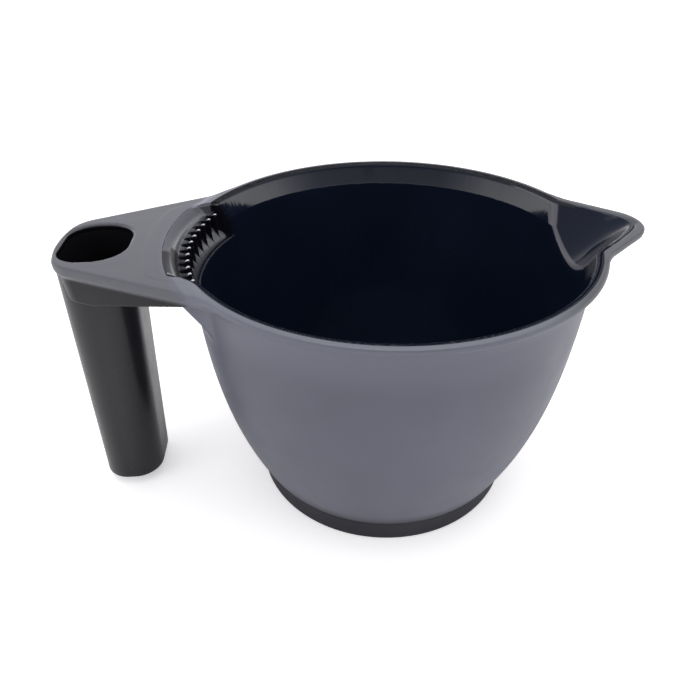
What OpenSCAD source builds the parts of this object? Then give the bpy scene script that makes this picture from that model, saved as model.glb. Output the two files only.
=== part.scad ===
// Tint bowl with a brush-socket handle, a pouring spout and a brush comb.
// Frame: +Z up, origin at the centre of the foot on the table plane,
// handle along -X, spout along +X, millimetres.

/* [Bowl] */
// Height of the rim above the table
bowl_h = 94.5; // [92:0.5:100]
// Outer radius of the rim flange
rim_r = 67.5; // [67:0.25:68.5]
// Outer radius of the wall where it meets the foot ring
base_r = 47.6; // [46.5:0.1:48]
// Wall bulge: how far the wall swells out in its lower half
wall_swell = 13.1; // [12.6:0.1:13.4]
// Wall draft: steady outward lean from base to rim
wall_draft = 3.5; // [3.2:0.1:3.7]
// Thickness of the outer shell wall
shell_t = 1.2; // [1.1:0.05:1.3]
// Thickness of the inner liner wall
liner_t = 1.0; // [0.9:0.05:1.1]
// Height of the flared band at the top of the inner wall
band_h = 7.5; // [6.5:0.25:8]

/* [Foot ring] */
// Height of the rubber foot ring
foot_h = 9; // [8.5:0.25:9.5]
// Outer radius of the foot ring on the table
foot_r = 46.4; // [46:0.1:47]
// Radius of the spigot that the ring is pressed over
spigot_r = 44.4; // [44.2:0.1:44.6]

/* [Deck and handle] */
// Depth of the deck surface below the rim
deck_drop = 0.6; // [0.4:0.1:0.8]
// Distance from the bowl axis to the flat end of the deck
deck_end = 104.4; // [104.2:0.1:105]
// Corner radius of the deck's free end
deck_corner_r = 11; // [10.5:0.25:11.5]
// Half-width of the deck at 64 mm from the bowl axis
deck_half_w = 34.3; // [34:0.1:34.6]
// Angle of each deck side to the handle's centre line
deck_taper = 26.2; // [26:0.1:26.4]
// Thickness of the deck's edge flange
flange_t = 3.4; // [3:0.1:3.6]
// Distance from the bowl axis to the tube's centre, at the deck
tube_c_top = 92.3; // [92:0.1:92.4]
// Distance from the bowl axis to the tube's centre, at the table
tube_c_bot = 95.9; // [95.5:0.1:96.2]
// Half-width of the tube along the handle's centre line, at the deck
tube_a_top = 11.8; // [11.7:0.05:11.9]
// Half-width of the tube across the handle, at the deck
tube_b_top = 14.9; // [14.7:0.1:15]
// How much each tube half-width shrinks down to the bottom
tube_draft = 1.5; // [1.2:0.1:1.6]
// Wall thickness of the tube
tube_t = 1.3; // [1.2:0.05:1.4]
// Height of the tube's closed end above the table
tube_z0 = 3; // [2.5:0.25:4]

/* [Brush comb] */
// Number of comb teeth
teeth = 13; // [11:1:13]
// Angle between neighbouring teeth
tooth_pitch = 4; // [3.9:0.05:4.05]
// Radius of the sharp tooth edges
tooth_r = 63.5; // [63.4:0.1:63.7]
// Depth of the tooth tips below the rim
tip_drop = 4.2; // [4:0.1:4.6]
// Radius of the pocket's upper edge in the deck
pocket_r = 71; // [70.8:0.1:71.2]
// Thickness of the insert's end cheeks
cheek_t = 1; // [0.8:0.1:1.2]

/* [Spout] */
// Distance from the bowl axis to the spout's tip
spout_x = 83; // [81.5:0.25:83.5]
// Half-width of the spout where it leaves the rim
spout_w = 21; // [20.5:0.25:21.5]
// Depth of the pouring mouth below the rim on the inner wall
mouth_d = 16.8; // [16:0.2:17.4]

/* [Hidden] */
deck_z = bowl_h - deck_drop;
span = bowl_h - foot_h;
floor_z = 9.4;           // underside of the liner's floor
eps = 0.01;

// outer wall radius at height z: a cubic swell plus a steady draft
function wt(z) = (z - foot_h) / span;
function wall_r(z) = base_r + wall_swell * (1 - pow(1 - wt(z), 3)) + wall_draft * wt(z);
// radius of the seam between shell and liner, and of the liner's inner face
function seam_r(z) = wall_r(z) - shell_t;
function skin_r(z) = wall_r(z) - shell_t - liner_t;

STEPS = 14;
z_lo = foot_h + 6;
z_hi = bowl_h - band_h;
function zz(i) = z_lo + (z_hi - z_lo) * i / STEPS;
in_top = rim_r - 2.8;            // inner face at the rim
seam_top = rim_r - 2.6;          // outer edge of the liner at the rim

// half-width of the deck at distance x from the axis
function deck_w(x) = deck_half_w - (x - 64) * tan(deck_taper);
// centre of the deck's corner circle
cc_x = deck_end - deck_corner_r;
cc_y = deck_w(cc_x) - deck_corner_r / cos(deck_taper);

module deck_outline(inset) {
  r = deck_corner_r - inset;
  s = inset / cos(deck_taper);
  // tangent point of the straight side on the corner circle
  tx = cc_x + r * sin(deck_taper);
  ty = cc_y + r * cos(deck_taper);
  polygon([[-50, deck_w(50) - s], [-tx, ty], [-cc_x, cc_y], [-cc_x - r, cc_y],
           [-cc_x - r, -cc_y], [-cc_x, -cc_y], [-tx, -ty], [-50, -deck_w(50) + s]]);
  for (m = [-1, 1]) translate([-cc_x, m * cc_y]) circle(r = r, $fn = 64);
}

// rounded rectangle of half-widths a and b
module rrect(a, b, r) {
  square([2 * a, 2 * (b - r)], center = true);
  square([2 * (a - r), 2 * b], center = true);
  for (i = [-1, 1], j = [-1, 1]) translate([i * (a - r), j * (b - r)]) circle(r = r, $fn = 32);
}

// tube dimensions at height z
function tk(z) = 1 - z / bowl_h;
function tube_c(z) = tube_c_top + (tube_c_bot - tube_c_top) * tk(z);
function tube_a(z) = tube_a_top - tube_draft * tk(z);
function tube_b(z) = tube_b_top - tube_draft * tk(z);

module tube_slab(z, off) {
  translate([-tube_c(z), 0, z]) linear_extrude(height = eps)
    rrect(tube_a(z) + off, tube_b(z) + off, 10 - tk(z) + off);
}

// leaning, tapering prism between two heights
module tube_prism(z0, z1, off) {
  hull() { tube_slab(z0, off); tube_slab(z1 - eps, off); }
}

// plan of the pocket that holds the comb: sides run parallel to the deck's
module pocket_plan(inset) {
  k = 0.463;
  polygon([[-44, 35.0 - inset], [-66.6, 35.0 - 22.6 * k - inset], [-76, 35.0 - 32 * k - inset],
           [-76, -35.0 + 32 * k + inset], [-66.6, -35.0 + 22.6 * k + inset], [-44, -35.0 + inset]]);
}

// radial section of the pocket's back: where the comb insert sits
comb_back = [[pocket_r, bowl_h + 2], [pocket_r, deck_z - 1.6], [69.4, deck_z - 2.6], [66.9, 85.0],
             [64.3, 82.0], [62.5, 80.3]];

// the same back, stopped at the deck's surface
comb_cut = [[pocket_r, deck_z], [pocket_r, deck_z - 1.6], [69.4, deck_z - 2.6], [66.9, 85.0], [64.3, 82.0], [62.5, 80.3]];

module spout_outer() {
  // the spout's body follows the channel, one wall thickness outside it
  intersection() {
    spout_channel(2.1);
    translate([50, -40, bowl_h - 40]) cube([50, 80, 40]);
  }
  // bead along the lip
  hull() {
    translate([56, 0, bowl_h - 2.2]) linear_extrude(height = 2.2)
      polygon([[0, -spout_w - 3], [6.5, -spout_w - 1], [6.5, spout_w + 1], [0, spout_w + 3]]);
    translate([spout_x - 12.5, 0, bowl_h - 2.2]) cylinder(r = 12.5, h = 2.2, $fn = 48);
  }
}

module spout_channel(off) {
  hull() {
    translate([56, 0, bowl_h - 2]) linear_extrude(height = 6)
      polygon([[0, -spout_w - 0.6 - off], [6, -spout_w + 1.6 - off], [6, spout_w - 1.6 + off], [0, spout_w + 0.6 + off]]);
    translate([spout_x - 9.4, 0, bowl_h - 1 - off * 0.8]) cylinder(r = 7.8 + off * 0.9, h = 5, $fn = 48);
    translate([54, 0, bowl_h - mouth_d + 6.6]) rotate([0, 90, 0]) cylinder(r = 7.0 + off, h = 6, $fn = 32);
  }
}

// solid of revolution inside the seam, used to hollow the shell
module seam_solid(top) {
  rotate_extrude($fn = 128)
    polygon(concat([[0, floor_z], [41.5, floor_z], [43.6, floor_z + 1.2], [45.4, floor_z + 3.2]],
      [for (i = [0:STEPS]) [seam_r(zz(i)), zz(i)]],
      [[seam_top - 0.3, bowl_h - 1.2], [seam_top, bowl_h - 0.6], [seam_top, top], [0, top]]));
}

// solid of revolution inside the liner's inner face
module skin_solid(top) {
  f = floor_z + 1.5;
  rotate_extrude($fn = 128)
    polygon(concat([[0, f], [39.6, f], [42.0, f + 0.7], [44.0, f + 2.2]],
      [for (i = [0:STEPS]) [skin_r(zz(i)), zz(i)]],
      [[in_top - 0.9, bowl_h - 0.7], [in_top, bowl_h - 0.1], [in_top, top], [0, top]]));
}

module bowl_shell() color([0.20, 0.20, 0.23]) {
  difference() {
    union() {
      // wall, rim flange and the spigot that carries the foot ring
      rotate_extrude($fn = 128)
        polygon(concat([[0, 8], [41.2, 8], [41.2, 2], [spigot_r, 2], [spigot_r, 4.6], [spigot_r + 0.6, 5.2],
            [spigot_r + 0.6, 6], [spigot_r, 6.6], [spigot_r, foot_h], [base_r, foot_h]],
          [for (i = [1:STEPS]) let (z = foot_h + (bowl_h - 8 - foot_h) * i / STEPS) [wall_r(z), z]],
          [[wall_r(bowl_h - 4.5) + 0.3, bowl_h - 4.5], [wall_r(bowl_h - 3) + 0.9, bowl_h - 3],
           [rim_r - 1.6, bowl_h - 2.4], [rim_r - 0.5, bowl_h - 2.2], [rim_r, bowl_h - 1.6], [rim_r, bowl_h - 0.7],
           [rim_r - 0.6, bowl_h], [0, bowl_h]]));
      // deck plate with its edge flange
      translate([0, 0, deck_z - 2.4]) linear_extrude(height = 2.4) deck_outline(0.6);
      translate([0, 0, deck_z - flange_t]) linear_extrude(height = flange_t - 0.8) difference() {
        deck_outline(0); deck_outline(3);
      }
      // skirt under the deck, its lower edge falling away from the bowl
      intersection() {
        translate([0, 0, 70]) linear_extrude(height = deck_z - 70.5) difference() {
          deck_outline(1.3); deck_outline(3.1);
        }
        rotate([90, 0, 0]) translate([0, 0, -60]) linear_extrude(height = 120)
          polygon([[-50, bowl_h - 3.2], [-64, bowl_h - 6.6], [-92, bowl_h - 13.4], [-120, bowl_h - 13.4],
                   [-120, bowl_h], [-50, bowl_h]]);
      }
      // collar that holds the top of the tube
      intersection() {
        tube_prism(bowl_h - 12, deck_z - 1, 1.9);
        translate([0, 0, 70]) linear_extrude(height = 40) deck_outline(1.3);
      }
      // back wall of the comb pocket
      intersection() {
        rotate_extrude($fn = 128) polygon([[50, 74], [62.4, 76.0], [65.6, 81.0], [68.2, 84.4], [72.8, deck_z - 2.2], [50, deck_z - 2.2]]);
        translate([0, 0, 70]) linear_extrude(height = 30) pocket_plan(-1.4);
      }
      spout_outer();
    }
    seam_solid(bowl_h + 5);
    // pocket for the comb insert
    intersection() {
      rotate_extrude($fn = 128) polygon(concat([[40, bowl_h + 2]], comb_back, [[40, 80.3]]));
      translate([0, 0, 70]) linear_extrude(height = 40) pocket_plan(0);
    }
    // the tube's top passes into the deck's underside, the brush hole goes through it
    tube_prism(bowl_h - 20, deck_z - 2.4, 0);
    tube_prism(bowl_h - 20, bowl_h + 3, -tube_t);
    spout_channel(1.0);
  }
}

module bowl_liner() color([0.03, 0.03, 0.05]) difference() {
  union() {
    seam_solid(bowl_h - 0.1);
    // the liner's lining of the spout channel
    intersection() {
      spout_channel(1.0);
      translate([50, -40, bowl_h - 30]) cube([50, 80, 29.9]);
    }
  }
  skin_solid(bowl_h + 5);
  spout_channel(0);
  // gap for the comb insert
  intersection() {
    rotate_extrude($fn = 128) polygon([[40, bowl_h + 2], [80, bowl_h + 2], [80, 80.3], [40, 80.3]]);
    translate([0, 0, 70]) linear_extrude(height = 40) pocket_plan(0);
  }
}

// one comb tooth: a V-section rib with a vertical front edge and a level top
module tooth() {
  d = 5.4;
  w = 2.5;
  zt = bowl_h - tip_drop;
  intersection() {
    translate([0, 0, 81.5]) linear_extrude(height = 13)
      polygon([[-tooth_r, 0], [-tooth_r - d, w], [-tooth_r - d - 1.5, w], [-tooth_r - d - 1.5, -w], [-tooth_r - d, -w]]);
    rotate([90, 0, 0]) translate([0, 0, -4]) linear_extrude(height = 8)
      polygon([[-tooth_r + 1, 82.0], [-tooth_r + 1, zt], [-tooth_r - 0.4, zt], [-68.3, zt + 0.3], [-68.2, zt - 0.8],
               [-67.4, 88.4], [-65.9, 84.9], [-63.9, 82.3], [-63.2, 82.0]]);
  }
}

module brush_comb() color([0.05, 0.05, 0.07]) intersection() {
  union() {
    rotate_extrude($fn = 128)
      polygon([[skin_r(80.3), 80.3], [skin_r(81.4), 81.4], [skin_r(82) + 0.5, 82.1], [tooth_r - 0.5, 82.4], [65.1, 84.6],
               [66.1, 89.2], [67.3, 91.7], [68.8, deck_z - 0.7], [pocket_r, deck_z], [pocket_r, deck_z - 1.6], [69.4, deck_z - 2.6],
               [66.9, 85.0], [64.3, 82.0], [62.5, 80.3]]);
    for (i = [0:teeth - 1]) rotate([0, 0, (i - (teeth - 1) / 2) * tooth_pitch]) tooth();
    // cheeks that close the pocket's two ends
    intersection() {
      rotate_extrude($fn = 128)
        polygon(concat([[skin_r(80.3), 80.3], [skin_r(bowl_h - band_h), bowl_h - band_h], [in_top - 0.9, bowl_h - 1.2],
          [in_top - 0.3, deck_z]], comb_cut));
      translate([0, 0, 70]) linear_extrude(height = 40) difference() { pocket_plan(0); pocket_plan(cheek_t); }
    }
  }
  translate([0, 0, 70]) linear_extrude(height = 40) pocket_plan(0);
}

module handle_tube() color([0.17, 0.17, 0.20]) difference() {
  tube_prism(tube_z0, deck_z - 2.4, 0);
  tube_prism(tube_z0 - 1, deck_z, -tube_t);
  // step that receives the end cap
  translate([-tube_c(tube_z0), 0, tube_z0 - 1]) linear_extrude(height = 1.8)
    rrect(tube_a(tube_z0) - 0.6, tube_b(tube_z0) - 0.6, 8.4);
}

module handle_end_cap() color([0.15, 0.15, 0.17]) {
  c = tube_c(tube_z0);
  a = tube_a(tube_z0);
  b = tube_b(tube_z0);
  difference() {
    union() {
      translate([-c, 0, tube_z0]) linear_extrude(height = 0.8) rrect(a - 0.6, b - 0.6, 8.4);
      translate([-c, 0, tube_z0 + 0.8]) linear_extrude(height = 4.2) rrect(a - tube_t - 0.15, b - tube_t - 0.15, 7.6);
    }
    translate([-c, 0, tube_z0 + 2]) linear_extrude(height = 6) rrect(a - tube_t - 1.5, b - tube_t - 1.5, 6.4);
  }
}

module foot_ring() color([0.14, 0.14, 0.16])
  rotate_extrude($fn = 128)
    polygon([[42.4, 0], [foot_r - 0.8, 0], [foot_r, 0.8], [base_r - 0.1, foot_h - 0.3], [base_r - 0.3, foot_h],
             [spigot_r, foot_h], [spigot_r, 6.6], [spigot_r + 0.6, 6], [spigot_r + 0.6, 5.2], [spigot_r, 4.6],
             [spigot_r, 2], [41.6, 2], [41.6, 0.8]]);

bowl_shell();
bowl_liner();
brush_comb();
handle_tube();
handle_end_cap();
foot_ring();
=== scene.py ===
import bpy, bmesh, math
import numpy as np
from mathutils import Vector, Matrix


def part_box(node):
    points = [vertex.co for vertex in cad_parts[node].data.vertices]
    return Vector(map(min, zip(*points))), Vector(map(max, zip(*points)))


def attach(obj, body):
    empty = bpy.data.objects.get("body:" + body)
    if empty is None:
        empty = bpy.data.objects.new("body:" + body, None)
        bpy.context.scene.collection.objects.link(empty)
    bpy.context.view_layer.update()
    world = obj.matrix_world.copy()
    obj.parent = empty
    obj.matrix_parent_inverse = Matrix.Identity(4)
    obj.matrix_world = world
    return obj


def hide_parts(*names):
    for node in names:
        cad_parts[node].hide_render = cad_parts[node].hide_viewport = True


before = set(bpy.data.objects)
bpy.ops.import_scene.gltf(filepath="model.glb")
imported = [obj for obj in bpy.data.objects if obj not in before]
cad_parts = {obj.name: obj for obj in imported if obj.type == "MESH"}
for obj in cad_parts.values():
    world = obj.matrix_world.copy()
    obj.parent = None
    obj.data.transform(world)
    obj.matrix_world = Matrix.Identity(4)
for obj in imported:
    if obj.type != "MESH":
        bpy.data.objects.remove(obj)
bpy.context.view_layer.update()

# ---------------------------------------------------------------------------
# Design values shared with the CAD source, in millimetres
# ---------------------------------------------------------------------------
MM = 0.001
lo_ring, hi_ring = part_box("foot_ring")
lo_shell, hi_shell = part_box("bowl_shell")
lo_tube, hi_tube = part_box("handle_tube")
H = hi_shell.z / MM                       # rim height
RIM = hi_shell.y / MM                     # rim flange radius
FOOT_H = hi_ring.z / MM
BASE_R = 47.6
SWELL, DRAFT = 13.1, 3.5
DECK_Z = H - 0.6
DECK_END = -lo_shell.x / MM
TAPER = math.radians(26.2)
SB, CB = math.sin(TAPER), math.cos(TAPER)
SIDE_C = SB * 64 + CB * 34.3
TUBE_Z0 = lo_tube.z / MM
TC_TOP, TC_BOT, TA, TB, TDR, TT = 92.3, 95.9, 11.8, 14.9, 1.5, 1.3
TOOTH_N, PITCH, TOOTH_R, TIP_Z = 13, 4.0, 63.5, H - 4.2
POCKET_R = 71.0
SPOUT_X = hi_shell.x / MM


# ---------------------------------------------------------------------------
# Distance-field helpers
# ---------------------------------------------------------------------------
def smin(a, b, k):
    h = np.maximum(k - np.abs(a - b), 0.0) / k
    return np.minimum(a, b) - h * h * k * 0.25


def smax(a, b, k):
    return -smin(-a, -b, k)


def wall_t(z):
    return np.clip((z - FOOT_H) / (H - FOOT_H), -0.12, 1.05)


def wall_r(z):
    t = wall_t(z)
    return BASE_R + SWELL * (1 - (1 - t) ** 3) + DRAFT * t


def wall_cos(z):
    t = wall_t(z)
    s = (SWELL * 3 * (1 - t) ** 2 + DRAFT) / (H - FOOT_H)
    return 1.0 / np.sqrt(1 + s * s)


def skin_void(r, z):
    """the bowl's inside: negative where there is air"""
    side = (r - (wall_r(z) - 2.2)) * wall_cos(z)
    band = (r - (61.72 + (z - (H - 7.5)) * 0.309)) * 0.955
    side = np.minimum(side, band)
    lip = (r - (64.75 + (z - H) * 1.2)) * 0.64
    side = smin(side, lip, 0.5)
    return smax(side, 10.9 - z, 9.0)


def seam_void(r, z):
    """the inside of the outer shell, where the liner sits"""
    side = (r - (wall_r(z) - 1.2)) * wall_cos(z)
    band = (r - (62.75 + (z - (H - 7.5)) * 0.309)) * 0.955
    side = np.minimum(side, band)
    side = np.minimum(side, np.maximum(r - 64.95, (H - 0.9) - z))
    return smax(side, 9.4 - z, 8.0)


def tube_sec(x, y, z, off, fuller=0.0):
    k = 1 - z / H
    c = TC_TOP + (TC_BOT - TC_TOP) * k
    a = TA - TDR * k + off
    b = TB - TDR * k + off
    R = 10 - k + off + np.where(-x < c, fuller, 0.0)
    qx = np.abs(-x - c) - (a - R)
    qy = np.abs(y) - (b - R)
    return np.sqrt(np.maximum(qx, 0) ** 2 + np.maximum(qy, 0) ** 2) + np.minimum(np.maximum(qx, qy), 0) - R


def deck2d(x, y):
    rho, v = -x, np.abs(y)
    side = SB * rho + CB * v - SIDE_C
    ec = DECK_END - 43.0
    end = np.sqrt((rho - ec) ** 2 + v * v) - 43.0
    R = 11.0
    # centre of the corner circle, tangent to the side and to the end arc
    cx = DECK_END - 12.0
    cv = (SIDE_C - R - SB * cx) / CB
    dx, dv = rho - cx, v - cv
    in_corner = (dx * CB - dv * SB > 0) & (dv > dx * 0.26)
    return np.where(in_corner, np.sqrt(dx * dx + dv * dv) - R, np.maximum(side, end))


def pocket2d(x, y, inset, rnd):
    """plan of the comb pocket: its ends run parallel to the deck's sides"""
    rho, v = -x, np.abs(y)
    return (v - (35.0 - inset - (rho - 44.0) * 0.463)) * 0.907


def pocket_back(r, z):
    low = np.maximum((r - (69.4 + (z - 91.3) * 0.397)) * 0.93, (r - (64.3 + (z - 82.0) * 0.867)) * 0.755)
    ledge = ((r - 69.4) - (z - 91.3) * 1.6) / 1.887
    return np.minimum(low, np.maximum(r - POCKET_R, ledge))


N1 = math.sqrt(0.66 ** 2 + 0.751 ** 2 + 0.6 ** 2)
CG = (0.66 ** 2 - 0.751 ** 2 + 0.6 ** 2) / N1 ** 2
GA = math.acos(CG) / 2


def channel(x, y, z, off):
    """the spout's pouring channel: two planes meeting in a rounded valley"""
    s = H - z
    a = (0.66 * x + 0.751 * y + 0.6 * s - 56.5) / N1 - off
    b = (0.66 * x - 0.751 * y + 0.6 * s - 56.5) / N1 - off
    R = np.minimum(23.5 - (x - 62.0) * 0.4, 18.9 - (x - 73.6) * 1.17)
    R = np.clip(R, 8.0, 24.5) + off
    pu = (a + b) / (2 * math.cos(GA))
    pw = (a - b) / (2 * math.sin(GA))
    du = pu + R / math.cos(GA)
    ang = np.abs(np.arctan2(pw, du))
    return np.where(ang < GA, np.sqrt(du * du + pw * pw) - R, np.maximum(a, b))


def spout2d(x, y, off=0.0):
    """plan outline of the spout's lip bead"""
    v = np.abs(y)
    R = 12.5
    cx = SPOUT_X - R
    side = 0.66 * (x - cx) + 0.751 * v - R
    dx = x - cx
    return np.where(dx * 0.751 - v * 0.66 > 0, np.sqrt(dx * dx + v * v) - R, side) - off


def corner_k(y):
    """the pocket's corner is well rounded on one side and crisp on the other"""
    return np.where(y < 0, 5.0, 1.3)


def cavity(x, y, z, off):
    """air inside the bowl and the spout; off 0 is the seam, -1 the liner's face"""
    r = np.sqrt(x * x + y * y)
    body = skin_void(r, z) if off < 0 else seam_void(r, z)
    air = smin(body, np.maximum(channel(x, y, z, off), 50.0 - x), 1.3)
    # comb pocket, its end corners rounded over into the bowl
    p = smin(pocket2d(x, y, -off, 0), body, corner_k(y))
    p = np.maximum(np.maximum(p, pocket_back(r, z)), np.maximum(80.3 - z, x + 50.0))
    return np.minimum(air, p)


def pocket_cut(x, y, z):
    return np.maximum(pocket2d(x, y, 0.0, 0), np.maximum(80.3 - z, x + 50.0))


# ---------------------------------------------------------------------------
# The pieces as distance fields
# ---------------------------------------------------------------------------
def f_shell(P):
    x, y, z = P[:, 0], P[:, 1], P[:, 2]
    r = np.sqrt(x * x + y * y)
    rho = -x
    # outer wall
    wall = (r - wall_r(z) - 1.0 * np.clip((z - (H - 7.5)) / 5.5, 0, 1) ** 1.5) * wall_cos(z)
    wall = smax(wall, z - (H - 0.25), 0.6)
    # rim flange: rounded ring
    qx = np.abs(r - (RIM - 1.6)) - (1.6 - 1.05)
    qz = np.abs(z - (H - 1.2)) - (1.2 - 1.05)
    flange = np.sqrt(np.maximum(qx, 0) ** 2 + np.maximum(qz, 0) ** 2) + np.minimum(np.maximum(qx, qz), 0) - 1.05
    body = smin(wall, flange, 2.6)
    # foot end of the wall
    spig = np.maximum(np.abs(r - 42.8) - 1.6, np.abs(z - 6.0) - 4.0)
    bead = np.sqrt((r - 44.3) ** 2 + (z - 5.6) ** 2) - 0.75
    body = smax(body, FOOT_H - z, 0.5)
    body = np.minimum(body, np.maximum(np.maximum(r - 47.0, 8.0 - z), z - 12))
    body = np.minimum(body, np.minimum(spig, bead))
    body = np.maximum(body, np.minimum(r - 45.06, FOOT_H - z))
    # deck plate with a rounded edge flange
    d2 = deck2d(x, y)
    zt, fl = DECK_Z, 3.5
    e = 1.25
    qa = d2 + e
    qb = np.abs(z - (zt - fl / 2)) - (fl / 2 - e)
    slab = np.sqrt(np.maximum(qa, 0) ** 2 + np.maximum(qb, 0) ** 2) + np.minimum(np.maximum(qa, qb), 0) - e
    hollow = smax(d2 + 2.6, z - (zt - 2.4), 1.0)
    slab = smax(slab, -hollow, 0.8)
    # skirt
    ins = 1.15 + (H - 4 - z) * 0.07
    zb = np.maximum(87.9 - (rho - 64.0) * 0.25, H - 13.5)
    sk = np.maximum(d2 + ins, -(d2 + ins + 1.8))
    sk = smax(sk, zb - z, 0.8)
    sk = np.maximum(sk, z - (zt - 1.0))
    # collar around the tube's top
    col = np.maximum(tube_sec(x, y, z, 1.9), np.maximum(H - 12 - z, z - (zt - 1)))
    col = np.maximum(col, d2 + ins)
    deck = smin(slab, np.minimum(sk, col), 1.6)
    deck = np.maximum(deck, 61.0 - r)
    out = smin(body, deck, 3.2)
    # back wall of the comb pocket
    g1 = (r - (64.2 + (z - 78.0) * 0.69)) * 0.82
    gus = smax(g1, pocket2d(x, y, -1.6, 0), 1.2)
    gus = np.maximum(np.maximum(gus, z - (zt - 1.0)), x)
    gus = np.maximum(gus, 60 - r)
    out = smin(out, gus, 2.2)
    # the deck's surface rises gently to the rim
    w = np.clip((71.4 - r) / 4.4, 0, 1)
    out = smax(out, z - np.where(x < -45, zt + (H - zt) * w * w * (3 - 2 * w), H), 0.5)
    # spout: body following the channel, and the lip bead
    sb = smax(channel(x, y, z, 1.35), z - (H - 0.6), 0.6)
    sb = np.maximum(sb, 57.0 - x)
    sb = smax(sb, spout2d(x, y, -0.45), 0.6)
    d3 = spout2d(x, y)
    be = 1.0
    qa = d3 + be
    qb = np.abs(z - (H - 1.15)) - (1.15 - be)
    lip = np.sqrt(np.maximum(qa, 0) ** 2 + np.maximum(qb, 0) ** 2) + np.minimum(np.maximum(qa, qb), 0) - be
    lip = np.maximum(lip, 57.0 - x)
    sp = smin(sb, lip, 1.8)
    out = smin(out, sp, 2.2)
    out = smax(out, z - H, 0.35)
    # hollow, with the comb pocket
    out = smax(out, -cavity(x, y, z, 0.0), 0.2)
    # tube's seat and the brush hole
    seat = np.maximum(tube_sec(x, y, z, 0.03), z - (zt - 2.4))
    out = np.maximum(out, -seat)
    u = np.clip((z - (zt - 1.3)) / 1.3, 0, 1)
    hole = tube_sec(x, y, z, -TT, 1.6) - 1.2 * (1 - np.sqrt(1 - 0.999 * u * u))
    out = np.maximum(out, -hole)
    return out


def f_liner(P):
    x, y, z = P[:, 0], P[:, 1], P[:, 2]
    r = np.sqrt(x * x + y * y)
    outer = cavity(x, y, z, 0.0) + 0.04
    out = smax(outer, -cavity(x, y, z, -1.0), 0.35)
    out = smax(out, z - (H - 0.06), 0.15)
    return np.maximum(out, -pocket_cut(x, y, z))


def f_comb(P):
    x, y, z = P[:, 0], P[:, 1], P[:, 2]
    r = np.sqrt(x * x + y * y)
    bound = np.maximum(cavity(x, y, z, 0.0), pocket_cut(x, y, z)) + 0.05
    skin = -skin_void(r, z)
    # back slope and ledge
    l1 = (r - 65.0) * 0.77 - (z - 84.6) * 0.64             # positive below the ledge's slope
    l2 = (r - 65.15) * 0.98 - (z - 84.8) * 0.20            # positive behind the back's lower slope
    l4 = (r - 66.3) * 0.852 - (z - 89.9) * 0.524           # and behind its upper slope
    l3 = (r - 68.6) * 0.30 - (z - (DECK_Z - 0.75)) * 0.954
    back = smax(smax(-l2, -l4, 1.2), -l3, 1.0)
    solid = smin(-l1, back, 1.2)                           # negative inside the solid
    solid = smax(solid, skin, 2.6)
    # cheeks at the pocket's ends, rounded over into the bowl
    ends = -smin(pocket2d(x, y, 1.0, 0), -skin, corner_k(y))
    solid = smin(solid, ends, 0.9)
    out = smax(bound, solid, 0.3)
    out = smax(out, z - (DECK_Z - 0.02), 0.25)
    # teeth: V-section ribs with upright front edges, running back into the slope
    ang = np.arctan2(y, -x)
    p = math.radians(PITCH)
    k = np.clip(np.round(ang / p), -(TOOTH_N // 2), TOOTH_N // 2)
    a = ang - k * p
    q = r * np.cos(a)
    tau = r * np.sin(a)
    lean = TOOTH_R - 0.045 * (TIP_Z - z)
    v = (np.sqrt(tau * tau + 0.02) - 0.08 - 0.47 * (q - lean)) * 0.9
    top = (z - (TIP_Z + 0.05 + 0.06 * np.maximum(q - 63.9, 0)))
    rib = smax(v, top, 0.4)
    rib = np.maximum(rib, q - 67.9)
    nub = np.sqrt((q - 63.95) ** 2 + tau * tau + ((z - (TIP_Z - 0.2)) * 0.95) ** 2) - 0.66
    rib = smin(rib, nub, 0.3)
    rib = np.maximum(np.maximum(rib, 81.6 - z), bound - 0.2)
    out = smin(out, rib, 0.35)
    return np.maximum(out, np.maximum(bound, skin))


# ---------------------------------------------------------------------------
# Surface nets on a sparse set of blocks
# ---------------------------------------------------------------------------
def chunked(f, P, n=1500000):
    return np.concatenate([f(P[i:i + n]) for i in range(0, len(P), n)])


def grad(f, P, e=0.02):
    g = np.empty_like(P)
    for a in range(3):
        d = np.zeros(3); d[a] = e
        g[:, a] = chunked(f, P + d) - chunked(f, P - d)
    return g / (2 * e)


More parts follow.
